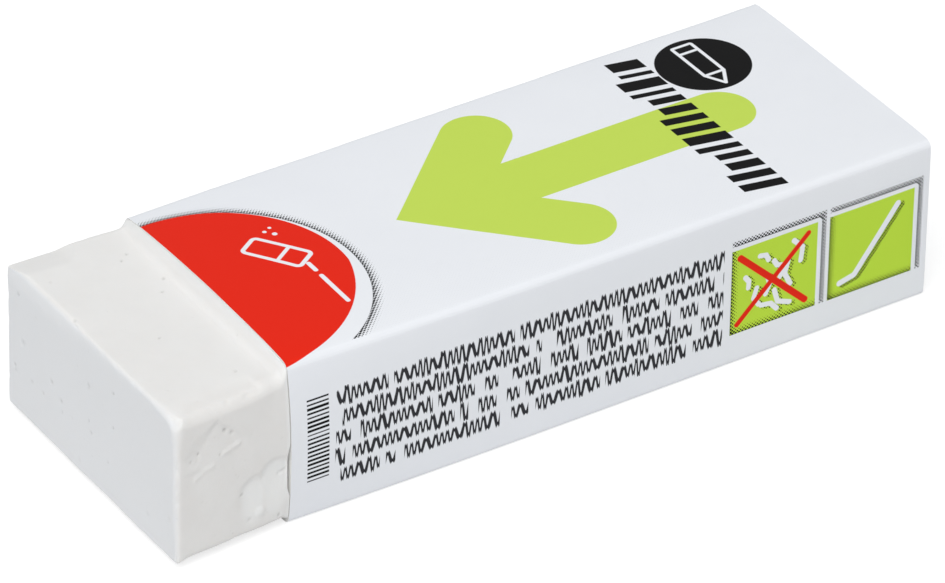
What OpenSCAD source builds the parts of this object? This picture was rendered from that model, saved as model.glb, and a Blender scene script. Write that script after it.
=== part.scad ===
// Vinyl eraser block in a folded card sleeve.
// X runs along the block with the working end at -X, Y runs across it and Z is up.
// The origin is under the middle of the whole object, on the face that it lies on.

/* [Eraser block] */
// Length of the block
block_l = 64.2; // [45:0.1:90]
// Width of the block where the sleeve holds it
block_w = 22.7; // [16:0.1:32]
// Height of the block where the sleeve holds it
block_h = 12.7; // [8:0.1:20]
// Length of the bare end that stands out of the sleeve
bare_l = 9.5; // [3:0.5:30]
// How far each face of the bare end has swollen past the part that the sleeve squeezes
swell = 0.4; // [0.1:0.05:0.4]
// Rounding of the block's long edges
long_edge_r = 0.7; // [0.4:0.1:3]
// Rounding of the edges round the block's ends
end_edge_r = 0.5; // [0.3:0.1:1.4]

/* [Card sleeve] */
// Length of the sleeve
sleeve_l = 55; // [35:0.5:80]
// Thickness of the card
card_t = 0.4; // [0.2:0.05:0.5]
// Outer radius of each fold
fold_r = 0.8; // [0.6:0.1:2]
// Width of the glue flap inside the bottom panel
flap_w = 13; // [5:0.5:13]
// Distance from the bottom panel's free edge to the sleeve's side
seam_inset = 1.3; // [0.8:0.1:3]
// Clearance between the block and the card round it
slip = 0.05; // [0.02:0.01:0.3]

/* [Hidden] */
$fn = 64;

// One layer of card lies over the block, and two lie under it: the flap and the bottom panel.
sleeve_w = block_w + 2 * (slip + card_t);
sleeve_h = block_h + 2 * slip + 3 * card_t;
block_z = 2 * card_t + slip;
overall_l = max(block_l, bare_l + sleeve_l);
block_x = -overall_l / 2;
mouth_x = block_x + bare_l;
// The block's corners clear the insides of the folds.
held_edge_r = max(long_edge_r, fold_r - card_t);

// Rectangle a by b about the origin, with four corners of radius r.
module rounded_rect(a, b, r) {
    square([a - 2 * r, b], center = true);
    square([a, b - 2 * r], center = true);
    for (side_a = [-1, 1], side_b = [-1, 1])
        translate([side_a * (a / 2 - r), side_b * (b / 2 - r)])
            circle(r);
}

// Bar of length l about the origin, w wide and h high, with rounded long and end edges.
module rounded_bar(l, w, h, along_r, end_r) {
    intersection() {
        rotate([90, 0, 90])
            linear_extrude(l, center = true)
                rounded_rect(w, h, along_r);
        rotate([90, 0, 0])
            linear_extrude(w, center = true)
                rounded_rect(l, h, end_r);
        linear_extrude(h, center = true)
            rounded_rect(l, w, end_r);
    }
}

// Flat run of card between two corners of the section.
module panel(y_low, z_low, y_high, z_high) {
    translate([y_low, z_low])
        square([y_high - y_low, z_high - z_low]);
}

// Quarter bend of card about the point y, z. Turn 0 bends from +Y up to +Z.
module fold(y, z, turn) {
    translate([y, z])
        rotate(turn)
            intersection() {
                difference() {
                    circle(fold_r);
                    circle(fold_r - card_t);
                }
                square(fold_r);
            }
}

// Section of the sleeve across its length: four panels, and the glue flap that the
// far side panel turns in to. The bottom panel is glued under the flap.
module sleeve_section() {
    side = sleeve_w / 2;
    bend = side - fold_r;
    top = sleeve_h - fold_r;
    panel(-bend, sleeve_h - card_t, bend, sleeve_h);
    panel(-side, fold_r, -side + card_t, top);
    panel(side - card_t, card_t + fold_r, side, top);
    panel(-bend, 0, side - seam_inset, card_t);
    panel(bend - flap_w, card_t, bend, 2 * card_t);
    fold(bend, top, 0);
    fold(-bend, top, 90);
    fold(-bend, fold_r, 180);
    fold(bend, card_t + fold_r, 270);
}

// The part in the sleeve, and the bare end, which stops just short of the card's edge.
module eraser_block() {
    swollen_l = bare_l - slip;
    color("whitesmoke")
        translate([block_x, 0, block_z + block_h / 2]) {
            translate([block_l / 2, 0, 0])
                rounded_bar(block_l, block_w, block_h, held_edge_r, end_edge_r);
            translate([swollen_l / 2, 0, 0])
                rounded_bar(swollen_l, block_w + 2 * swell, block_h + 2 * swell, long_edge_r, end_edge_r);
        }
}

module card_sleeve() {
    color("white")
        translate([mouth_x, 0, 0])
            rotate([90, 0, 90])
                linear_extrude(sleeve_l)
                    sleeve_section();
}

eraser_block();
card_sleeve();
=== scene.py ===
import math

import bpy
import numpy as np
from mathutils import Matrix, Vector, noise


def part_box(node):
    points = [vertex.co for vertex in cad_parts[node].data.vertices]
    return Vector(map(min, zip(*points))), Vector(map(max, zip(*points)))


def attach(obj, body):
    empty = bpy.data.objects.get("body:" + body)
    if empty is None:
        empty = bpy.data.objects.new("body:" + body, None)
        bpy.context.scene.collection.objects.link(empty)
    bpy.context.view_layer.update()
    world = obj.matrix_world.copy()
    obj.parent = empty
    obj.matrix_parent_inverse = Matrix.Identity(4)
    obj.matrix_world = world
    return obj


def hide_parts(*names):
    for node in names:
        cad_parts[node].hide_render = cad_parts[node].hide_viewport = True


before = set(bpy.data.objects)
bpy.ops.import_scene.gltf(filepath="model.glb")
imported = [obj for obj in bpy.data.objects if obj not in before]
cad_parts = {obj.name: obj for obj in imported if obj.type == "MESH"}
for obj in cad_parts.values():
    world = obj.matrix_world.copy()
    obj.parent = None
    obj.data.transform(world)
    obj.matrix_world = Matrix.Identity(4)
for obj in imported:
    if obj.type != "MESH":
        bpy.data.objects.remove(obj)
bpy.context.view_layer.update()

# A white vinyl block, worn at its bare end, in a printed card sleeve.
# Sizes are in millimetres, and x is measured from the sleeve's open end unless a comment says otherwise.

MM = 0.001
sleeve_low, sleeve_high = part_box("card_sleeve")
block_low, block_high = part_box("eraser_block")

MOUTH = sleeve_low[0] / MM
SLEEVE_LENGTH = (sleeve_high[0] - sleeve_low[0]) / MM
BARE = (sleeve_low[0] - block_low[0]) / MM
BLOCK_REAR = (block_high[0] - sleeve_low[0]) / MM

# The sleeve's card
CARD = 0.4
SLEEVE_HALF = 11.42
SLEEVE_HIGH = 13.53
FOLD_R = 0.5
SEAM_EDGE = 10.2
FLAP_END = -2.0

# How the block squeezes the card out of square at the open end
PINCH = 0.35
BOW = 0.5
LIFT = 0.17
CROWN = 0.42
PILLOW = 0.14  # the soft fall of each panel towards its folds, all along the sleeve
SQUEEZE_INSIDE = 24.0
SQUEEZE_OUTSIDE = 9.5

# The block
SLIP = 0.05
MOUTH_EASE = 0.03  # taken off the held part's sides, so that it passes the squeezed mouth
SHOULDER_GAP = 0.03
SIDE_GAP = 0.08  # the same on the two sides
HELD_HALF = SLEEVE_HALF - CARD - SLIP - MOUTH_EASE
HELD_LOW = 2 * CARD + SLIP
HELD_HIGH = SLEEVE_HIGH - CARD - SLIP
BARE_LOW = 0.55
END_FLARE = 0.36
FOOT_FLARE = 0.12  # how much more the end face flares at its foot
END_LEAN = 0.16  # how far the foot of the end face stands out past its top
WORN_HIGH = 12.9
WORN_SLOPE = 0.1
RIDGE = 1.3  # how far from the card the ridge starts to rise
RIDGE_CURVE = 3.4
RIDGE_DROP = 0.04  # from the card's top face down to the top of the ridge


# Node trees

def srgb(red, green, blue):
    """A colour's linear value, from its levels on a screen."""
    def linear(level):
        part = level / 255
        return part / 12.92 if part <= 0.04045 else ((part + 0.055) / 1.055) ** 2.4
    return (linear(red), linear(green), linear(blue), 1.0)


class Value:
    """A number in a node tree. A formula on it adds its Math nodes."""

    def __init__(self, nodes, socket):
        self.nodes = nodes
        self.socket = socket

    def __add__(self, other):
        return self.nodes.math("ADD", self, other)

    def __radd__(self, other):
        return self.nodes.math("ADD", other, self)

    def __sub__(self, other):
        return self.nodes.math("SUBTRACT", self, other)

    def __rsub__(self, other):
        return self.nodes.math("SUBTRACT", other, self)

    def __mul__(self, other):
        return self.nodes.math("MULTIPLY", self, other)

    def __rmul__(self, other):
        return self.nodes.math("MULTIPLY", other, self)

    def __truediv__(self, other):
        return self.nodes.math("DIVIDE", self, other)

    def __pow__(self, other):
        return self.nodes.math("POWER", self, other)

    def __neg__(self):
        return self.nodes.math("MULTIPLY", self, -1.0)

    def __abs__(self):
        return self.nodes.math("ABSOLUTE", self)

    def floor(self):
        return self.nodes.math("FLOOR", self)

    def fraction(self):
        return self.nodes.math("FRACT", self)

    def least(self, other):
        return self.nodes.math("MINIMUM", self, other)

    def most(self, other):
        return self.nodes.math("MAXIMUM", self, other)

    def over(self, other):
        return self.nodes.math("GREATER_THAN", self, other)


class Nodes:
    """Adds nodes to one tree."""

    def __init__(self, tree):
        self.tree = tree

    def add(self, kind, settings=None, inputs=None):
        """A node of this type, with its settings first and then its sockets' values or links."""
        node = self.tree.nodes.new(kind)
        for name, setting in (settings or {}).items():
            setattr(node, name, setting)
        for key, given in (inputs or {}).items():
            if isinstance(given, Value):
                self.tree.links.new(given.socket, node.inputs[key])
            elif isinstance(given, bpy.types.NodeSocket):
                self.tree.links.new(given, node.inputs[key])
            else:
                node.inputs[key].default_value = given
        return node

    def value(self, kind, settings=None, inputs=None, output=0):
        """One number from a new node."""
        return Value(self, self.add(kind, settings, inputs).outputs[output])

    def math(self, operation, *values):
        return self.value("ShaderNodeMath", {"operation": operation}, dict(enumerate(values)))

    def blend(self, under, over, share):
        """The colour under, covered by the colour over where share is 1."""
        return self.add("ShaderNodeMix", {"data_type": "RGBA"}, {0: share, 6: under, 7: over}).outputs[2]


def fresh_tree(owner):
    """The emptied node tree of a new material or world."""
    owner.use_nodes = True
    owner.node_tree.nodes.clear()
    return Nodes(owner.node_tree)


def in_scene(name, data):
    """A new object in the scene."""
    thing = bpy.data.objects.new(name, data)
    bpy.context.scene.collection.objects.link(thing)
    return thing


def limit(value):
    """A value, or an array of them, held between 0 and 1."""
    if isinstance(value, Value):
        return value.most(0.0).least(1.0)
    return np.clip(value, 0.0, 1.0)


# The shape that the sleeve and the block share

def squeeze_left(x, reach):
    """1 at the open end, falling to 0 at the reach. It takes arrays and node values."""
    left = 1.0 - limit(abs(x) / reach)
    return left * left


def fullness(part):
    """1 over the middle of a panel, falling to 0 at its folds, where part is -1 or 1."""
    square = part * part
    return 1.0 - square * square * square * square


def squeezed_y(y, z, left):
    """Where a point across the sleeve goes: folds pinch in, and the sides bow out between them."""
    level = z / (SLEEVE_HIGH / 2) - 1.0
    bow = BOW * left * (1.0 - level * level) + PILLOW * 0.5 * fullness(level)
    return y * (1.0 + (bow - PINCH * left) / SLEEVE_HALF)


def crown_rise(y, left):
    """How far the top stands up."""
    part = y / SLEEVE_HALF
    return (LIFT + CROWN * (1.0 - part * part)) * left + PILLOW * fullness(part)


# The sleeve

SHEET_GRID = (72, 440)  # points along the sheet and round it
FOLD_STEPS = 8
WAVE_DEPTH = 0.16
SHARP_TURN = 0.8  # an edge that turns by more than this angle stays sharp
SIDE_MIDDLE = (SEAM_EDGE + SLEEVE_HALF - FOLD_R) + math.pi * FOLD_R / 2 + (SLEEVE_HIGH / 2 - FOLD_R)
TOP_MIDDLE = SIDE_MIDDLE + (SLEEVE_HIGH / 2 - FOLD_R) + math.pi * FOLD_R / 2 + (SLEEVE_HALF - FOLD_R)


def sleeve_tree(finishes):
    """A geometry tree that folds a sheet of card round the outline of the sleeve and glues it to itself."""
    tree = bpy.data.node_groups.new("folded_card", "GeometryNodeTree")
    sizes = ("Length", "Half width", "Height", "Card", "Fold radius", "Seam edge", "Flap end")
    for name in sizes:
        tree.interface.new_socket(name, in_out="INPUT", socket_type="NodeSocketFloat")
    for name in finishes:
        tree.interface.new_socket(name, in_out="INPUT", socket_type="NodeSocketMaterial")
    tree.interface.new_socket("Geometry", in_out="OUTPUT", socket_type="NodeSocketGeometry")
    nodes = Nodes(tree)
    given = nodes.add("NodeGroupInput")
    length, half, high, card, fold, seam, flap = (Value(nodes, given.outputs[name]) for name in sizes)

    # The outline runs from the bottom panel's free edge, up the near side, over the top and under to
    # the flap.
    corners = ((seam, 0.0), (-half, 0.0), (-half, high), (half, high), (half, card), (flap, card))
    line = nodes.add("GeometryNodeMeshLine", inputs={"Count": len(corners)})
    places = nodes.add("GeometryNodeIndexSwitch", {"data_type": "VECTOR"})
    while len(places.index_switch_items) < len(corners):
        places.index_switch_items.new()
    tree.links.new(nodes.add("GeometryNodeInputIndex").outputs[0], places.inputs["Index"])
    for number, (across, up) in enumerate(corners):
        place = nodes.add("ShaderNodeCombineXYZ", inputs={"Y": across, "Z": up})
        tree.links.new(place.outputs[0], places.inputs[str(number)])
    bent = nodes.add("GeometryNodeSetPosition", inputs={"Geometry": line.outputs[0],
                                                        "Position": places.outputs[0]})
    outline = nodes.add("GeometryNodeMeshToCurve", inputs={"Mesh": bent.outputs[0]})
    folded = nodes.add("GeometryNodeFilletCurve", {"mode": "POLY"},
                       {"Curve": outline.outputs[0], "Count": FOLD_STEPS, "Radius": fold})

    # The flat sheet, one side along the sleeve and the other round it.
    sheet = nodes.add("GeometryNodeMeshGrid", inputs={
        "Size X": length, "Size Y": 1.0, "Vertices X": SHEET_GRID[0], "Vertices Y": SHEET_GRID[1]})
    flat = nodes.add("ShaderNodeSeparateXYZ", inputs={0: nodes.add("GeometryNodeInputPosition").outputs[0]})
    along = Value(nodes, flat.outputs["X"]) + length / 2
    part = Value(nodes, flat.outputs["Y"]) + 0.5
    around = part * nodes.value("GeometryNodeCurveLength", inputs={"Curve": folded.outputs[0]})
    paper = nodes.add("ShaderNodeCombineXYZ", inputs={"X": along, "Y": around})
    marked = nodes.add("GeometryNodeStoreNamedAttribute", {"data_type": "FLOAT_VECTOR", "domain": "POINT"},
                       {"Geometry": sheet.outputs["Mesh"], "Name": "sheet", "Value": paper.outputs[0]})
    where = nodes.add("GeometryNodeSampleCurve", {"mode": "FACTOR"},
                      {"Curves": folded.outputs[0], "Factor": part})
    spot = nodes.add("ShaderNodeSeparateXYZ", inputs={0: where.outputs["Position"]})
    y, z = Value(nodes, spot.outputs["Y"]), Value(nodes, spot.outputs["Z"])
    left = squeeze_left(along, SQUEEZE_INSIDE)
    shaped = nodes.add("ShaderNodeCombineXYZ", inputs={
        "X": along,
        "Y": squeezed_y(y, z, left),
        "Z": z + crown_rise(y, left) * z / SLEEVE_HIGH,
    })
    placed = nodes.add("GeometryNodeSetPosition", inputs={"Geometry": marked.outputs[0],
                                                          "Position": shaped.outputs[0]})

    # Card is never quite flat.
    waves = nodes.value("ShaderNodeTexNoise", inputs={"Scale": 0.09, "Detail": 2.0, "Roughness": 0.4}) - 0.5
    position = nodes.add("GeometryNodeInputPosition").outputs[0]
    height = Value(nodes, nodes.add("ShaderNodeSeparateXYZ", inputs={0: position}).outputs["Z"])
    off_table = limit((height - card * 2.0) / 3.0)
    normal = nodes.add("GeometryNodeInputNormal").outputs[0]
    push = nodes.add("ShaderNodeVectorMath", {"operation": "SCALE"},
                     {0: normal, "Scale": waves * off_table * WAVE_DEPTH})
    wavy = nodes.add("GeometryNodeSetPosition", inputs={"Geometry": placed.outputs[0],
                                                        "Offset": push.outputs[0]})

    # The card's thickness goes inwards from the printed face.
    turned = nodes.add("GeometryNodeFlipFaces", inputs={"Mesh": wavy.outputs[0]})
    square_in = nodes.add("ShaderNodeVectorMath", {"operation": "MULTIPLY"},
                          {0: normal, 1: (0.0, 1.0, 1.0)})
    thick = nodes.add("GeometryNodeExtrudeMesh", inputs={
        "Mesh": turned.outputs[0], "Offset": square_in.outputs[0],
        "Offset Scale": card, "Individual": False})
    shell = thick.outputs["Mesh"]
    for name, output in (("inside", "Top"), ("cut", "Side")):
        shell = nodes.add("GeometryNodeStoreNamedAttribute", {"data_type": "BOOLEAN", "domain": "FACE"},
                          {"Geometry": shell, "Name": name, "Value": thick.outputs[output]}).outputs[0]
    both = nodes.add("GeometryNodeJoinGeometry")
    tree.links.new(wavy.outputs[0], both.inputs[0])
    tree.links.new(shell, both.inputs[0])
    closed = nodes.add("GeometryNodeMergeByDistance", inputs={"Geometry": both.outputs[0],
                                                              "Distance": 0.002})
    turn = nodes.value("GeometryNodeInputMeshEdgeAngle")
    edges = nodes.add("GeometryNodeSetShadeSmooth", {"domain": "EDGE"}, {
        "Geometry": closed.outputs[0], "Selection": turn.over(SHARP_TURN).socket, "Shade Smooth": False})
    sized = nodes.add("GeometryNodeTransform", inputs={"Geometry": edges.outputs[0],
                                                       "Translation": (MOUTH * MM, 0, 0),
                                                       "Scale": (MM, MM, MM)})
    result = nodes.add("GeometryNodeRealizeInstances", inputs={"Geometry": sized.outputs[0]}).outputs[0]
    for name, mark in zip(finishes, (None, "inside", "cut")):
        finish = nodes.add("GeometryNodeSetMaterial", inputs={"Geometry": result,
                                                              "Material": given.outputs[name]})
        if mark:
            chosen = nodes.add("GeometryNodeInputNamedAttribute", {"data_type": "BOOLEAN"}, {"Name": mark})
            tree.links.new(chosen.outputs[0], finish.inputs["Selection"])
        result = finish.outputs[0]
    nodes.add("NodeGroupOutput", inputs={"Geometry": result})
    return tree


def folded_sleeve(printed, inside, cut):
    """The card sleeve as a plain mesh."""
    finishes = {"Printed face": printed, "Inner face": inside, "Cut edge": cut}
    tree = sleeve_tree(finishes)
    sizes = {"Length": SLEEVE_LENGTH, "Half width": SLEEVE_HALF, "Height": SLEEVE_HIGH, "Card": CARD,
             "Fold radius": FOLD_R, "Seam edge": SEAM_EDGE, "Flap end": FLAP_END}
    blank = in_scene("sleeve_blank", bpy.data.meshes.new("sleeve_blank"))
    folding = blank.modifiers.new("folding", "NODES")
    folding.node_group = tree
    values = {**sizes, **finishes}
    for item in tree.interface.items_tree:
        if item.in_out == "INPUT":
            folding[item.identifier] = values[item.name]
    done = blank.evaluated_get(bpy.context.evaluated_depsgraph_get())
    mesh = bpy.data.meshes.new_from_object(done)
    bpy.data.objects.remove(blank)
    return in_scene("folded_card_sleeve", mesh)


# The block

def smooth(values, start, end):
    """0 at the start, 1 at the end, and a soft S between."""
    part = np.clip((values - start) / (end - start), 0.0, 1.0)
    return part * part * (3.0 - 2.0 * part)


def stations(*legs):
    """Places along a line, from legs of (start, end, step)."""
    places = []
    for start, end, step in legs:
        count = max(1, round((end - start) / step))
        places += [start + (end - start) * number / count for number in range(count)]
    return np.array(places + [legs[-1][1]])


def box_skin(xs, ys, zs):
    """The six faces of a box as one closed grid: its points and its quads."""
    grid = np.stack(np.meshgrid(xs, ys, zs, indexing="ij"), -1)
    skin = np.ones(grid.shape[:3], bool)
    skin[1:-1, 1:-1, 1:-1] = False
    number = np.cumsum(skin).reshape(skin.shape) - 1
    sheets = ((number[0], True), (number[-1], False), (number[:, 0], False),
              (number[:, -1], True), (number[:, :, 0], True), (number[:, :, -1], False))
    quads = []
    for sheet, turned in sheets:
        loop = np.stack([sheet[:-1, :-1], sheet[1:, :-1], sheet[1:, 1:], sheet[:-1, 1:]], -1).reshape(-1, 4)
        quads.append(loop[:, ::-1] if turned else loop)
    return grid[skin], np.concatenate(quads)


def planed(points, spot, slope, soft, depth=0.0):
    """Points beyond a plane brought back on to it, with a soft start to the cut."""
    way = np.array(slope) / np.linalg.norm(slope)
    over = (points - np.array(spot)) @ way - depth
    drop = soft * np.log1p(np.exp(np.clip(over / soft, -30, 30)))
    return points - drop[:, None] * way


def noise_at(points, size, seed):
    """Smooth noise between about -1 and 1, with bumps of this size."""
    shift = Vector((seed * 17.3, seed * 5.1, seed * 9.7))
    return np.array([noise.noise(Vector(point) / size + shift) for point in points])


MARK_TURN = 2.4  # radians from one mark's direction to the next, so that no two lie alike

# Marks on the bare end: (place, radius, depth, darkness). On the near side the place is (x, z), on the
# end face it is (y, z), and on the top it is (x, y).
NEAR_MARKS = (
    ((-5.1, 12.35), 0.13, 0.06, 0.48), ((-5.4, 10.5), 0.18, 0.1, 0.48), ((-4.85, 10.1), 0.17, 0.08, 0.36),
    ((-5.8, 8.7), 0.13, 0.07, 0.6), ((-3.2, 9.3), 0.12, 0.06, 0.42), ((-7.6, 9.35), 0.12, 0.06, 0.54),
    ((-8.25, 8.9), 0.14, 0.06, 0.3), ((-4.4, 6.2), 0.14, 0.06, 0.42), ((-4.1, 4.5), 0.16, 0.07, 0.42),
    ((-1.5, 6.55), 0.13, 0.04, 0.42), ((-3.5, 2.1), 0.18, 0.08, 0.3), ((-0.95, 1.4), 0.16, 0.07, 0.42),
    ((-7.4, 5.25), 0.17, 0.03, 0.21), ((-7.6, 13.0), 0.17, 0.04, 0.3), ((-6.4, 1.9), 0.14, 0.03, 0.18),
)
END_MARKS = (
    ((8.27, 4.42), 0.18, 0.08, 0.42), ((6.68, 4.42), 0.17, 0.07, 0.36), ((5.43, 6.08), 0.22, 0.08, 0.3),
    ((4.1, 5.17), 0.22, 0.08, 0.36), ((3.93, 4.33), 0.17, 0.06, 0.36), ((0.18, 5.83), 0.16, 0.07, 0.42),
    ((-0.07, 4.97), 0.17, 0.07, 0.42), ((-3.23, 7.22), 0.16, 0.07, 0.42), ((-3.37, 10.25), 0.16, 0.07, 0.48),
    ((0.18, 8.83), 0.24, 0.06, 0.24), ((-2.48, 3.83), 0.18, 0.06, 0.3), ((10.77, 4.45), 0.22, 0.1, 0.48),
    ((10.7, 4.05), 0.18, 0.07, 0.36), ((9.6, 7.0), 0.31, 0.1, 0.18), ((10.1, 10.9), 0.17, 0.07, 0.36),
    ((-7.9, 2.7), 0.26, 0.04, 0.12), ((-10.9, 4.0), 0.28, 0.06, 0.12), ((1.5, 1.7), 0.28, 0.04, 0.12),
)
TOP_MARKS = (
    ((-6.84, -10.45), 0.17, 0.05, 0.36), ((-2.8, -8.8), 0.14, 0.05, 0.42), ((-5.2, -2.44), 0.14, 0.05, 0.42),
    ((-2.1, 2.42), 0.17, 0.06, 0.36), ((-1.16, 3.8), 0.17, 0.06, 0.36), ((-2.58, 7.3), 0.12, 0.05, 0.6),
    ((-1.85, 7.85), 0.15, 0.06, 0.42), ((-8.16, 7.7), 0.14, 0.05, 0.36), ((-9.1, 2.7), 0.24, 0.08, 0.3),
    ((-9.62, -5.0), 0.18, 0.11, 0.48), ((-9.6, -7.2), 0.22, 0.1, 0.36), ((-9.5, 6.1), 0.41, 0.03, 0.15),
)


def mark_spots():
    """Each mark as its centre on the block, radius, depth and darkness."""
    near = [((x, -SLEEVE_HALF - END_FLARE * -x / BARE, z), *rest) for (x, z), *rest in NEAR_MARKS]
    end = [((-BARE, y, z), *rest) for (y, z), *rest in END_MARKS]
    top = [((x, y, WORN_HIGH), *rest) for (x, y), *rest in TOP_MARKS]
    return near + end + top


def lip(distance, edge, run):
    """The depth of a dent that drops at its edge and comes back over its run. Distance counts inwards."""
    return smooth(distance, -edge / 2, edge) * np.exp(-np.clip(distance, 0, None) / run)


def arch(x, z, middle, top, radius):
    """How far inside a round-topped shape, open below, each point lies."""
    up = z - (top - radius)
    return radius - np.hypot(x - middle, np.where(up < 0, up * 0.3, up))


def near_dents(x, z):
    """How deep the near side is scooped and chipped at each point, and how much of it is fresh vinyl."""
    # A fingernail scoop, pointed at its top and soft on its left
    peak_x, peak_z = -6.0, 11.6
    slope = np.where(x < peak_x, 0.80, 1.02)
    below = (peak_z - slope * np.abs(x - peak_x) - z) * 0.75
    edge = 0.30 + 0.5 * smooth(x, -6.0, -7.4)
    scoop = 0.15 * lip(below, edge, 1.5) * smooth(np.abs(x - peak_x), 2.9, 1.2)
    # Two small ridges pushed up at the feet of the scoops
    depth = scoop
    for middle, height, half, rise in ((-4.95, 8.80, 0.60, 0.075), (-7.15, 7.62, 0.65, 0.06)):
        along = x - middle
        foot = np.hypot(np.clip(np.abs(along) - half, 0, None), z - height - 0.32 * along)
        depth = depth - rise * smooth(foot, 0.34, 0.0)
    # A shallow groove, and a small dent by the end edge
    groove = 0.07 * lip(7.80 - 0.1 * (x + 7.6) - z, 0.25, 0.5) * smooth(np.abs(x + 7.9), 1.3, 0.4)
    nick = 0.06 * lip(0.62 - np.hypot(x + 8.1, z - 9.0), 0.3, 0.5)
    # Two chips side by side, open below
    chip = np.maximum(arch(x, z, -3.1, 5.6, 1.1), arch(x, z, -1.25, 6.5, 1.3))
    worn = 0.5 * smooth(z, 5.4, 3.0)
    chips = 0.17 * smooth(chip, -0.3 - worn, 0.4 + worn) * smooth(z, 2.0, 5.6)
    lump = -0.11 * smooth(np.hypot(x + 2.55, (z - 2.4) * 1.1), 0.65, 0.1)
    crack = 0.10 * smooth(np.abs(z - 5.15 - 0.2 * (x + 0.75)), 0.13, 0.03)
    crack = crack * smooth(np.abs(x + 0.7), 0.42, 0.3)
    fresh = smooth(chip, -0.25, 0.45) * smooth(z, 0.6, 2.4)
    return depth + groove + nick + chips + lump + crack, fresh


def block_shape(points):
    """The block's points in their real places, from points on a plain round-edged box."""
    x, y, z = points.T
    foot = 1 - np.clip(z / HELD_HIGH, 0, 1)
    x = x + END_LEAN * foot * np.clip(x / BARE, -1, 0)
    gap = SHOULDER_GAP + (SIDE_GAP - SHOULDER_GAP) * smooth(z, 12.6, 11.9)
    held = smooth(x, -gap, -gap + 0.03)
    left = np.where(x < 0, squeeze_left(x, SQUEEZE_OUTSIDE), squeeze_left(x, SQUEEZE_INSIDE))
    half = SLEEVE_HALF + (END_FLARE + FOOT_FLARE * foot) * np.clip(-x / BARE, 0, 1)
    half = half + (HELD_HALF - half) * held
    low = BARE_LOW + (HELD_LOW - BARE_LOW) * held
    across = y / SLEEVE_HALF * half
    crown = crown_rise(across, left)
    worn = WORN_HIGH - WORN_SLOPE * np.clip(-x / BARE, 0, 1)
    reach = RIDGE * (1 - 0.35 * smooth(y, 8.0, 10.5))
    ridge = np.clip((x + reach) / (reach - SHOULDER_GAP), 0, 1) ** RIDGE_CURVE
    high = worn + (SLEEVE_HIGH - RIDGE_DROP + crown - worn) * ridge
    high = high + (HELD_HIGH + crown * HELD_HIGH / SLEEVE_HIGH - high) * held
    up = low + (z - HELD_LOW) / (HELD_HIGH - HELD_LOW) * (high - low)
    # Every part that comes out has to pass the squeezed mouth.
    here, at_mouth = squeezed_y(across, up, left), squeezed_y(across, up, 1.0)
    side = np.where((x > 0) & (np.abs(at_mouth) < np.abs(here)), at_mouth, here)
    return np.stack([x, side, up], 1)


def edge_radius(x, y, z):
    """How round the block's edges are: softest along the near top and the near bottom edge."""
    bare = smooth(x, -0.1, -0.5)
    radius = 0.32 + 0.14 * smooth(z, 1.5, 4.0)
    radius = radius + 0.45 * bare * smooth(z, 2.8, 1.2) * smooth(y, -9.6, -11.0) * smooth(x, -9.4, -8.4)
    along = 0.3 + 0.7 * smooth(x, -9.4, -8.0) - 0.4 * smooth(x, -4.0, -1.0)
    radius = radius + 0.7 * bare * along * smooth(z, 10.0, 12.5) * smooth(y, -8.5, -10.8)
    return radius - 0.16 * smooth(x, -8.2, -9.2) * smooth(z, 10.5, 12.4) * smooth(y, -9.6, -8.0)


def worn_away(points, warp):
    """The points brought back to the planes that wear has cut."""
    x, y, z = points.T
    # A bevel along the far top edge, and a slighter one along the near top edge
    points = planed(points, (-9.5, 9.25, 12.83), (0, 0.2, 1), 0.02, 1.4 * smooth(x, -6.0, -0.6))
    points = planed(points, (-9.5, -9.9, 12.83), (0, -0.15, 1), 0.03, 0.9 * smooth(x, -2.6, -0.9))
    # A rubbed band under the end's top edge, steep below, then flatter, and at 45 degrees along the edge
    end_top = (-9.46, 0, 12.8)
    band = 2.35 - 2.3 * smooth(y, 7.0, -9.5) + 0.25 * warp[:, 0]
    points = planed(points, end_top, (-1, 0, 0.16), 0.03, 0.08 - 0.1 * band)
    points = planed(points, end_top, (-1, 0, 0.5), 0.05, 0.02 - 0.09 * band)
    points = planed(points, end_top, (-1, 0, 1), 0.04, 0.2 - 0.46 * smooth(y, -6.0, 4.0))
    # The cut near corner
    points = planed(points, (-9.10, -11.05, 12.62), (-1, -0.75, 0.85), 0.06)
    # Vinyl broken off the shoulder against the card, and nothing cut inside the sleeve
    shoulder = smooth(z, 1.2, 3.6) * smooth(z, 9.4, 5.6)
    inside = smooth(x, -0.03, 0.03)
    return planed(points, (-0.30, -11.55, 5), (1, -0.62, 0), 0.03, 0.6 - 0.6 * shoulder + 50 * inside)


def pitted(points, out):
    """The points with a pit pressed in at each mark, and how dark each point is."""
    speck = np.zeros(len(points))
    for number, (centre, size, pit, dark) in enumerate(mark_spots()):
        away = points - np.array(centre)
        turn = number * MARK_TURN
        way = np.array([math.cos(turn), math.cos(turn), math.sin(turn)])
        along = away @ (way / np.linalg.norm(way))
        stretch = 0.7 * ((number * 0.618) % 1.0)
        reach = np.sqrt((away * away).sum(axis=1) - stretch * along * along)
        bell = smooth(reach, size * 1.5, 0.0)
        points = points - out * (pit * bell)[:, None]
        speck = np.maximum(speck, dark * smooth(reach, size * 1.15, size * 0.2))
    return points, speck


def unevenness(points, out, x, y):
    """How far cut and rubbed vinyl stands out at each point, with bites out of its edges."""
    edge = np.clip((1 - np.abs(out).max(axis=1)) / 0.29, 0, 1)
    swell = 0.045 * noise_at(points, 4.2, 1) + 0.014 * noise_at(points, 1.3, 2)
    swell += 0.005 * noise_at(points, 0.45, 3)
    bites = np.clip(noise_at(points, 0.8, 4) - 0.12, 0, None) * 0.15 * smooth(x, -0.8, -1.6)
    swell = swell * (1 - 0.7 * smooth(y, 8.5, 10.5))
    return (swell - bites * edge) * smooth(x, -0.2, -1.4)


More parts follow.
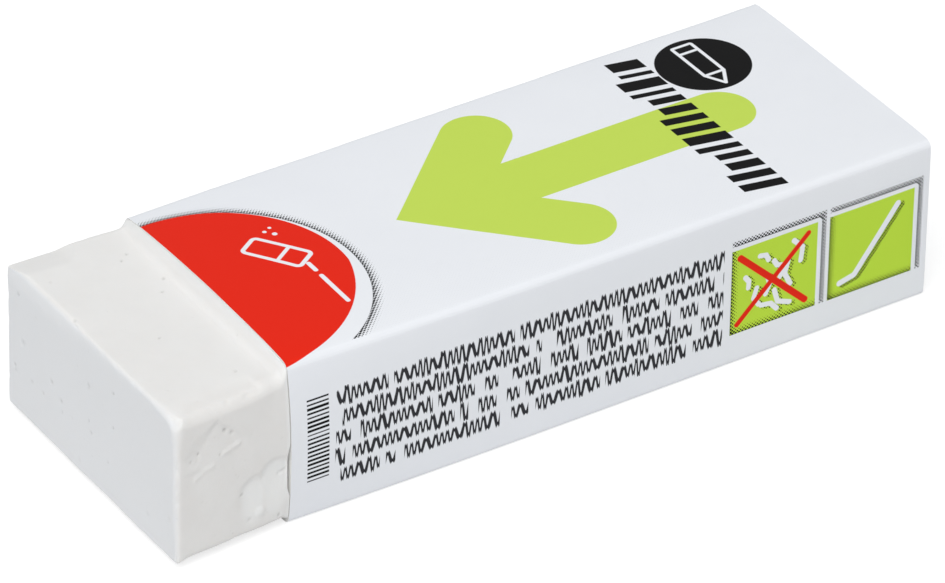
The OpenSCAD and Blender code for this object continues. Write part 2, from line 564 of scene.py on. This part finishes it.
def cleanness(x, y, z, out, fresh):
    """1 where the vinyl is clean and unshaded: in fresh chips, on the ridge by the card and inside the
    sleeve. Soil lowers it on the near side, and painted shade lowers it along the near top edge.
    """
    # Painted shade: the vinyl along the near top edge, short of the end and of the mouth, is darkened in
    # colour.
    painted_edge_shade = smooth(y, -9.6, -10.9) * smooth(z, 11.2, 12.3) * smooth(x, -8.9, -7.6) * smooth(x, -0.8, -2.0)
    upper = 1 - 0.55 * np.clip(-out[:, 1], 0, 1) * smooth(z, 12.6, 11.4) - 1.2 * painted_edge_shade
    return limit(np.maximum(0.35 * upper + 0.65 * fresh, smooth(x, -0.6, 0.0)))


def worn_block(vinyl):
    """The vinyl block, with a dense grid at its bare end for its dents and chips."""
    xs = stations((-BARE, -8.7, 0.09), (-8.7, -1.0, 0.125), (-1.0, -0.12, 0.08), (-0.12, 0.0, 0.02),
                  (0.0, 1.0, 0.33), (1.0, BLOCK_REAR - 0.8, 2.4), (BLOCK_REAR - 0.8, BLOCK_REAR, 0.13))
    ys = stations((-SLEEVE_HALF, -10.2, 0.11), (-10.2, 10.4, 0.15), (10.4, SLEEVE_HALF, 0.11))
    zs = stations((HELD_LOW, 1.6, 0.09), (1.6, 11.8, 0.13), (11.8, HELD_HIGH, 0.09))
    points, quads = box_skin(xs, ys, zs)
    low = np.array([-BARE, -SLEEVE_HALF, HELD_LOW])
    high = np.array([BLOCK_REAR, SLEEVE_HALF, HELD_HIGH])
    radius = edge_radius(*points.T)[:, None]
    core = np.clip(points, low + radius, high - radius)
    out = points - core
    out /= np.linalg.norm(out, axis=1, keepdims=True)
    points = block_shape(core + out * radius)

    # x, y and z stay as they are here while the points are worn and marked.
    x, y, z = points.T
    bare = smooth(x, -0.02, -0.5)
    busy = np.flatnonzero(x < 0.5)
    warp = np.zeros((len(points), 2))
    warp[busy] = np.stack([noise_at(points[busy], 1.1, 5), noise_at(points[busy], 1.1, 6)], 1)
    points = worn_away(points, warp)

    # Dents on the near side, then pits and specks all over the bare end
    facing = np.clip(-out[:, 1], 0, 1) ** 2
    depth, fresh = near_dents(x + 0.16 * warp[:, 0], z + 0.16 * warp[:, 1])
    points[:, 1] += depth * facing * bare
    points, speck = pitted(points, out)
    points[busy] += out[busy] * unevenness(points[busy], out[busy], x[busy], y[busy])[:, None]

    clean_unshaded = cleanness(x, y, z, out, fresh * facing)
    # Painted cool light: the end face gets a cooler colour, as if lit by the cool lamp on the left.
    painted_cool_light = np.clip(-out[:, 0], 0, 1) ** 2
    mesh = bpy.data.meshes.new("worn_vinyl_block")
    mesh.from_pydata((points + np.array([MOUTH, 0, 0])) * MM, [], quads)
    for name, values in (("speck", speck), ("clean_unshaded", clean_unshaded), ("painted_cool_light", painted_cool_light)):
        mesh.attributes.new(name, "FLOAT", "POINT").data.foreach_set("value", values.astype("float32"))
    mesh.polygons.foreach_set("use_smooth", np.ones(len(mesh.polygons), bool))
    mesh.materials.append(vinyl)
    mesh.update()
    return in_scene("worn_vinyl_block", mesh)


# Finishes

PAPER_WHITE = srgb(238, 240, 244)
PAPER_SHADE = srgb(234, 236, 241)
BACK_GREY = srgb(205, 200, 190)
BACK_GREY_DEEP = srgb(188, 182, 170)
EDGE_WHITE = srgb(242, 242, 241)
EDGE_SHADE = srgb(232, 231, 227)
INK_RED = srgb(230, 42, 25)
INK_LIME = srgb(196, 220, 92)
INK_LIME_DEEP = srgb(191, 224, 71)
INK_BLACK = srgb(14, 14, 15)
INK_GREY = srgb(52, 52, 56)
# the colour of soil on the bare end, and of the painted shade along its near top edge
VINYL_SOIL_AND_SHADE = srgb(228, 226, 224)
VINYL_CLEAN = srgb(237, 237, 236)
# the end face's cooler tint: painted light, as from the cool lamp on the left
VINYL_PAINTED_COOL_LIGHT = srgb(227, 228, 230)
VINYL_SPECK = srgb(120, 116, 108)


def finish(name, roughness, specular):
    """A new material: its nodes and its shader."""
    material = bpy.data.materials.new(name)
    nodes = fresh_tree(material)
    shader = nodes.add("ShaderNodeBsdfPrincipled", inputs={"Roughness": roughness,
                                                            "Specular IOR Level": specular})
    nodes.add("ShaderNodeOutputMaterial", inputs={"Surface": shader.outputs[0]})
    return material, nodes, shader


def texture(nodes, size, detail=2.0, roughness=0.5):
    """Noise from 0 to 1 in the object's own space, with bumps of this size."""
    place = nodes.add("ShaderNodeTexCoord").outputs["Object"]
    return nodes.value("ShaderNodeTexNoise", inputs={
        "Vector": place, "Scale": 1 / (size * MM), "Detail": detail, "Roughness": roughness})


def relief(nodes, shader, height, depth):
    """Bump of this depth, from a height between 0 and 1."""
    bump = nodes.add("ShaderNodeBump", inputs={"Height": height, "Distance": depth * MM, "Strength": 1.0})
    nodes.tree.links.new(bump.outputs[0], shader.inputs["Normal"])


def white_vinyl():
    material, nodes, shader = finish("white_vinyl", 0.6, 0.25)
    clean_unshaded, speck, painted_cool_light = (nodes.value("ShaderNodeAttribute", {"attribute_name": name}, output=2)
                            for name in ("clean_unshaded", "speck", "painted_cool_light"))
    clouds = texture(nodes, 3.5, 4.0, 0.6)
    grains = texture(nodes, 0.5, 3.0, 0.6)
    # Soil, and painted shade along the near top edge, both darken the vinyl towards this colour.
    soil_and_shade = limit((1.0 - clean_unshaded) * (0.5 + clouds))
    colour = nodes.blend(VINYL_CLEAN, VINYL_SOIL_AND_SHADE, soil_and_shade)
    # Painted cool light on the end face.
    colour = nodes.blend(colour, VINYL_PAINTED_COOL_LIGHT, painted_cool_light)
    dust = limit((grains - 0.68) * 9.0) * 0.16
    colour = nodes.blend(colour, VINYL_SPECK, limit(speck * 0.8 + dust * (1.0 - clean_unshaded)))
    nodes.tree.links.new(colour, shader.inputs["Base Color"])
    shader.inputs["Subsurface Weight"].default_value = 0.12
    shader.inputs["Subsurface Scale"].default_value = 0.6 * MM
    shader.inputs["Subsurface Radius"].default_value = (1.0, 0.9, 0.8)
    relief(nodes, shader, grains * 0.5 + texture(nodes, 0.16, 2.0) * 0.5, 0.012)
    return material


def card_back():
    material, nodes, shader = finish("uncoated_card", 0.85, 0.3)
    fibres = texture(nodes, 0.35, 4.0, 0.65)
    colour = nodes.blend(BACK_GREY, BACK_GREY_DEEP, fibres)
    nodes.tree.links.new(colour, shader.inputs["Base Color"])
    relief(nodes, shader, fibres, 0.02)
    return material


def card_edge():
    material, nodes, shader = finish("cut_card_edge", 0.8, 0.3)
    layers = texture(nodes, 0.12, 3.0, 0.7)
    colour = nodes.blend(EDGE_WHITE, EDGE_SHADE, layers)
    nodes.tree.links.new(colour, shader.inputs["Base Color"])
    relief(nodes, shader, layers, 0.02)
    return material


# Shapes in ink, each as its distance from a point (u, v): below 0 inside

def length(a, b):
    return (a * a + b * b) ** 0.5


def disc(u, v, centre, radius):
    return length(u - centre[0], v - centre[1]) - radius


def panel(u, v, centre, half, corner=0.0):
    across = abs(u - centre[0]) - (half[0] - corner)
    down = abs(v - centre[1]) - (half[1] - corner)
    return length(across.most(0.0), down.most(0.0)) + across.most(down).least(0.0) - corner


def stroke(u, v, start, end, width):
    run = (end[0] - start[0], end[1] - start[1])
    square = run[0] ** 2 + run[1] ** 2
    across, down = u - start[0], v - start[1]
    part = limit((across * run[0] + down * run[1]) * (1 / square))
    return length(across - part * run[0], down - part * run[1]) - width / 2


def strokes(u, v, lines, width):
    """Several strokes as one shape; each is (start, end)."""
    distance = None
    for start, end in lines:
        one = stroke(u, v, start, end, width)
        distance = one if distance is None else distance.least(one)
    return distance


def inked(distance, soft=0.05):
    """How much ink a shape lays at a point."""
    return limit(0.5 - distance * (1 / soft))


def screen(u, v, cover, pitch=0.21):
    """Halftone dots that cover this share of the card."""
    a = ((u + v) * (0.7071 / pitch)).fraction() - 0.5
    b = ((u - v) * (0.7071 / pitch)).fraction() - 0.5
    return limit((cover * 0.75 - length(a, b)) * 6.0 + 0.5)


def chance(nodes, a, b, seed):
    """A fixed random number for each pair of whole numbers."""
    place = nodes.add("ShaderNodeCombineXYZ", inputs={"X": a, "Y": b, "Z": float(seed)})
    return nodes.value("ShaderNodeTexWhiteNoise", {"noise_dimensions": "3D"}, {"Vector": place.outputs[0]})


# Places in the print. u is counted from the open end, and v from the middle of the top towards the far
# side or from the foot of the near side upwards. A disc is its centre and its radius.
RED_BROAD = ((-1.48, 0.92), 12.45)
RED_CLOSE = ((0.51, -0.86), 10.13)
RED_CLOSE_FROM = -2.7  # the closer disc trims the red field only where v is above this
RING_SHADE = ((0.36, -1.55), 10.79)
RING_SHADE_FROM = -11.0  # the ring's shade starts here, short of the near fold
BLACK_DISC = ((46.75, 6.05), 3.65)
ARROW_TIP = (16.2, 0.35)
ARROW_BARBS = ((27.14, 6.81), (27.14, -6.95))
ARROW_BARB_R = 2.7
ARROW_SHAFT_HALF = 2.65
ARROW_SHAFT_END = 44.15


def barb(u, v, centre):
    """One side of the arrow's head, and how far a point lies beyond its outer edge."""
    run = (centre[0] - ARROW_TIP[0], centre[1] - ARROW_TIP[1])
    outward = math.copysign(1.0, run[1])
    lean = math.atan2(run[1], run[0]) + outward * math.asin(ARROW_BARB_R / math.hypot(*run))
    across, down = u - centre[0], v - centre[1]
    along = across * math.cos(lean) + down * math.sin(lean)
    beyond = (down * math.cos(lean) - across * math.sin(lean)) * outward
    return length(along.most(0.0), beyond) - ARROW_BARB_R, beyond - ARROW_BARB_R


def arrow(u, v):
    """A broad arrow towards the open end, with round barbs and a round tail."""
    (far_barb, far_edge), (near_barb, near_edge) = (barb(u, v, centre) for centre in ARROW_BARBS)
    head = far_barb.least(near_barb).most(far_edge).most(near_edge)
    shaft = length((u - ARROW_SHAFT_END).most(0.0), v) - ARROW_SHAFT_HALF
    return head.least(shaft.most(20.0 - u))


def red_panel(u, v):
    """A round red field cut off by the open end, a little flatter by the near fold."""
    return disc(u, v, *RED_BROAD).most(disc(u, v, *RED_CLOSE).least(v - RED_CLOSE_FROM))


def rubbing_sign(u, v):
    """A small sign: a rubber that wipes away a line."""
    line = strokes(u, v, (((7.75, -6.8), (7.75, -3.2)), ((7.75, -2.4), (7.75, -1.4))), 0.36)
    # The rubber is drawn about its own middle and turned by 35 degrees.
    across, down = u - 6.55, v - 1.0
    turned_u = across * 0.819 + down * 0.574
    turned_v = down * 0.819 - across * 0.574
    body = abs(panel(turned_u, turned_v, (0.0, 0.0), (1.05, 2.3), 0.35)) - 0.17
    band = stroke(turned_u, turned_v, (-1.0, -0.5), (1.0, -0.5), 0.30)
    sign = line.least(body).least(band)
    for centre, radius in (((7.7, 3.2), 0.2), ((7.2, 3.8), 0.16), ((7.8, 4.1), 0.14)):
        sign = sign.least(disc(u, v, centre, radius))
    return sign


def pencil_sign(u, v):
    """A small pencil in outline."""
    u = u - BLACK_DISC[0][0]
    v = v - BLACK_DISC[0][1]
    body = abs(panel(u, v, (0.0, 0.75), (0.85, 2.2), 0.12)) - 0.14
    tip = strokes(u, v, (((-0.85, -1.45), (0.0, -3.0)), ((0.85, -1.45), (0.0, -3.0)),
                         ((-0.85, 1.95), (0.85, 1.95))), 0.28)
    return body.least(tip)


def slanted_row(nodes, u, v):
    """Seven heavy slanted blocks in a row, each split by a slit."""
    blocks, start, foot = 7, -10.65, 43.0
    pitch, lean = 2.9, 0.2
    up = foot - u
    reading = v - start - up * lean
    cell = (reading * (1 / pitch)).floor()
    local = reading - cell * pitch
    tall = 2.62 + 0.78 * chance(nodes, cell, 0.0, 3).over(0.5)
    inside = (0.18 - local).most(local - 2.55).most(-up).most(up - tall)
    slit = 0.27 - abs(local - (0.95 + 0.75 * chance(nodes, cell, 1.0, 5)))
    row = (-reading).most(reading - blocks * pitch)
    return inside.most(slit).most(row)


def bar_column(nodes, u, v):
    """A short column of fine bars."""
    pitch, start = 0.36, 3.2
    middle, half = (2.24, 6.78), (0.9, 3.58)
    number = ((v - start) * (1 / pitch)).floor()
    local = (v - start) - number * pitch
    thick = 0.045 + 0.07 * chance(nodes, number, 0.0, 7)
    bar = abs(local - pitch / 2) - thick
    return bar.most(abs(u - middle[0]) - half[0]).most(abs(v - middle[1]) - half[1])


def fine_rows(nodes, u, v):
    """Five rows of scribble in groups, as dense as small print."""
    rows, row_pitch, first = 5, 1.672, 9.64
    right, wave, line_half = 36.8, 0.62, 0.13
    count = ((first + row_pitch / 2 - v) * (1 / row_pitch)).floor()
    level = v - first + count * row_pitch
    turns = 2 * math.pi / wave
    phase = (u + 0.16 * nodes.math("SINE", u * 2.3 + count * 2.1)) * turns
    cell = (phase * (0.5 / math.pi)).floor()
    tall = 0.34 + 0.24 * chance(nodes, cell, count, 11) ** 3.0
    slope = tall * turns * nodes.math("COSINE", phase)
    line = abs(level - tall * nodes.math("SINE", phase)) / length(slope, 1.0) - line_half
    space = chance(nodes, cell, count, 21).over(0.87)
    ragged = 3.6 + 0.7 * chance(nodes, count, 0.0, 14)
    block = (ragged - u).most(u - right).most(-(count + 0.5)).most(count - (rows - 0.5))
    return line.most(block).most(space * 2.0 - 1.0)


SQUARE_HALF = (3.78, 3.66)
SQUARES = ((41.25, 6.40), (49.90, 6.40))
CRUMBS = 10
CROSS = (((38.2, 9.3), (44.1, 3.6), 0.54), ((44.2, 9.4), (38.1, 3.5), 0.46))  # start, end and width
STRAND = (((47.2, 3.9), (48.5, 4.2)), ((48.5, 4.2), (50.2, 6.5)), ((50.2, 6.5), (52.2, 9.2)))


def crumb_strokes():
    """Short bent strokes scattered round the middle of the first square."""
    lines = []
    for number in range(CRUMBS):
        turn = number * MARK_TURN
        reach = 0.55 + 0.25 * number
        u = SQUARES[0][0] + reach * math.cos(turn) * 0.98
        v = SQUARES[0][1] + reach * math.sin(turn) * 0.95
        size = 0.55 + 0.3 * (number % 3)
        tilt = turn + (1.1, 2.6, 0.2, 1.9)[number % 4]
        bend = (u + size * math.cos(tilt), v + size * math.sin(tilt))
        tilt += (0.9, -0.7)[number % 2]
        lines.append(((u, v), bend))
        lines.append((bend, (bend[0] + size * math.cos(tilt), bend[1] + size * math.sin(tilt))))
    return lines


def inked_over(nodes, colour, layers):
    """The colour with each layer of (ink, cover) laid over it in turn."""
    for ink, cover in layers:
        colour = nodes.blend(colour, ink, cover)
    return colour


def top_print(nodes, colour, u, v):
    ring = disc(u, v, *RING_SHADE)
    shade = inked((-ring).most(RING_SHADE_FROM - v)) * screen(u, v, limit(0.72 - ring * 0.8))
    return inked_over(nodes, colour, (
        (INK_BLACK, shade),
        (INK_LIME, inked(arrow(u, v))),
        (INK_RED, inked(red_panel(u, v))),
        (PAPER_WHITE, inked(rubbing_sign(u, v))),
        (INK_BLACK, inked(disc(u, v, *BLACK_DISC))),
        (PAPER_WHITE, inked(pencil_sign(u, v))),
        (INK_BLACK, inked(slanted_row(nodes, u, v))),
    ))


def side_print(nodes, colour, u, v):
    colour = inked_over(nodes, colour, (
        (INK_BLACK, inked(bar_column(nodes, u, v))),
        (INK_GREY, inked(fine_rows(nodes, u, v))),
    ))
    drop_shift, inner_shift = 0.4, 0.75
    for centre in SQUARES:
        field = panel(u, v, centre, SQUARE_HALF)
        drop = panel(u - drop_shift, v - drop_shift, centre,
                     (SQUARE_HALF[0] + drop_shift, SQUARE_HALF[1] + drop_shift))
        inner = panel(u - inner_shift, v - inner_shift, centre, SQUARE_HALF)
        colour = inked_over(nodes, colour, (
            (INK_BLACK, inked((0.36 - field).most(drop)) * screen(u, v, limit(0.42 - drop * 0.6))),
            (INK_LIME_DEEP, inked(field)),
            (INK_BLACK, inked(field) * screen(u, v, limit(inner * 1.3) * 0.68)),
        ))
    inside = inked(panel(u, v, SQUARES[0], SQUARE_HALF))
    crumbs = strokes(u, v, crumb_strokes(), 0.42)
    crumbs_shade = strokes(u - 0.28, v + 0.18, crumb_strokes(), 0.5)
    strand = strokes(u, v, STRAND, 0.52)
    strand_shade = strokes(u - 0.32, v + 0.2, STRAND, 0.6)
    first, second = (stroke(u, v, *line) for line in CROSS)
    return inked_over(nodes, colour, (
        (INK_BLACK, inside * inked(crumbs_shade) * screen(u, v, 0.45)),
        (PAPER_WHITE, inside * inked(crumbs)),
        (INK_BLACK, inked(strand_shade) * screen(u, v, 0.55)),
        (PAPER_WHITE, inked(strand)),
        (INK_RED, inked(first.least(second))),
    ))


def printed_card():
    """White coated card with its print. u runs along the sleeve and v across the face that is printed."""
    material, nodes, shader = finish("printed_card", 0.5, 0.04)
    sheet = nodes.add("ShaderNodeAttribute", {"attribute_name": "sheet"}).outputs["Vector"]
    parts = nodes.add("ShaderNodeSeparateXYZ", inputs={0: sheet})
    u = Value(nodes, parts.outputs["X"])
    around = Value(nodes, parts.outputs["Y"])
    colour = nodes.blend(PAPER_WHITE, PAPER_SHADE, texture(nodes, 5.0, 3.0))
    colour = top_print(nodes, colour, u, around - TOP_MIDDLE)
    colour = side_print(nodes, colour, u, around - (SIDE_MIDDLE - SLEEVE_HIGH / 2))
    nodes.tree.links.new(colour, shader.inputs["Base Color"])
    grain = texture(nodes, 0.25, 3.0, 0.6)
    relief(nodes, shader, grain * 0.7 + texture(nodes, 1.8) * 0.3, 0.008)
    return material


# The stage

CAMERA_PLACE = (-229.11, -352.11, 289.77)  # from the middle of the object's footprint
CAMERA_AZIMUTH = -33.03
CAMERA_ELEVATION = 34.10
CAMERA_ROLL = 0.564
CAMERA_LENS = 265.33


def place_camera():
    camera = in_scene("camera", bpy.data.cameras.new("camera"))
    camera.data.lens = CAMERA_LENS
    camera.data.sensor_width = 36.0
    camera.data.clip_start = 0.01
    turn = (Matrix.Rotation(math.radians(CAMERA_AZIMUTH), 4, "Z")
            @ Matrix.Rotation(math.radians(90 - CAMERA_ELEVATION), 4, "X")
            @ Matrix.Rotation(math.radians(CAMERA_ROLL), 4, "Z"))
    camera.matrix_world = Matrix.Translation(Vector(CAMERA_PLACE) * MM) @ turn
    bpy.context.scene.camera = camera


def seen_directly(nodes):
    """1 for the rays that show the background: straight, mirrored or through glass."""
    path = nodes.add("ShaderNodeLightPath")
    rays = [Value(nodes, path.outputs[name]) for name in
            ("Is Camera Ray", "Is Glossy Ray", "Is Transmission Ray")]
    return rays[0].most(rays[1]).most(rays[2])


AMBIENT = 0.42
AMBIENT_COLOUR = (0.957, 0.987, 1.008, 1.0)


def light_world():
    world = bpy.data.worlds.new("studio")
    bpy.context.scene.world = world
    nodes = fresh_tree(world)
    shown = nodes.add("ShaderNodeBackground", inputs={"Color": (1, 1, 1, 1), "Strength": 1.0})
    lighting = nodes.add("ShaderNodeBackground", inputs={"Color": AMBIENT_COLOUR, "Strength": AMBIENT})
    mixed = nodes.add("ShaderNodeMixShader", inputs={0: seen_directly(nodes), 1: lighting.outputs[0],
                                                     2: shown.outputs[0]})
    nodes.add("ShaderNodeOutputWorld", inputs={"Surface": mixed.outputs[0]})


# Soft lamps: name, direction from the object, distance and size in metres, watts, colour
LAMPS = (
    ("key", (-0.40, -0.36, 0.84), 0.9, 0.7, 6.2, (1.0, 0.993, 0.982)),
    ("left", (-0.95, -0.2, 0.25), 1.0, 0.8, 0.15, (0.85, 0.93, 1.0)),
)


def hang_lamps():
    for name, way, distance, size, watts, colour in LAMPS:
        lamp = in_scene(name, bpy.data.lights.new(name, "AREA"))
        lamp.data.size = size
        lamp.data.energy = watts
        lamp.data.color = colour
        back = Vector(way).normalized()
        aim = back.to_track_quat("Z", "Y").to_matrix().to_4x4()
        lamp.matrix_world = Matrix.Translation(back * distance) @ aim
        lamp.visible_camera = False


FLOOR_HALF = 2.0  # in metres
FLOOR_PLAIN = 0.8  # the floor's share of light given back, where it is not seen directly
FLOOR_SHARE = 0.45
FLOOR_GLOW = 0.68


def lay_floor():
    mesh = bpy.data.meshes.new("floor")
    corners = [(-1, -1), (1, -1), (1, 1), (-1, 1)]
    mesh.from_pydata([(x * FLOOR_HALF, y * FLOOR_HALF, 0.0) for x, y in corners], [], [(0, 1, 2, 3)])
    floor = in_scene("floor", mesh)
    material = bpy.data.materials.new("white_floor")
    nodes = fresh_tree(material)
    plain, share = (nodes.add("ShaderNodeBsdfDiffuse", inputs={"Color": (level, level, level, 1)})
                    for level in (FLOOR_PLAIN, FLOOR_SHARE))
    glow = nodes.add("ShaderNodeEmission", inputs={"Color": (1, 1, 1, 1), "Strength": FLOOR_GLOW})
    shown = nodes.add("ShaderNodeAddShader", inputs={0: share.outputs[0], 1: glow.outputs[0]})
    mixed = nodes.add("ShaderNodeMixShader", inputs={0: seen_directly(nodes), 1: plain.outputs[0],
                                                     2: shown.outputs[0]})
    nodes.add("ShaderNodeOutputMaterial", inputs={"Surface": mixed.outputs[0]})
    mesh.materials.append(material)


place_camera()
light_world()
hang_lamps()
lay_floor()
bpy.context.scene.view_settings.view_transform = "Standard"

block = worn_block(white_vinyl())
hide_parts("eraser_block")
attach(block, "block")

sleeve = folded_sleeve(printed_card(), card_back(), card_edge())
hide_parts("card_sleeve")
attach(sleeve, "sleeve")
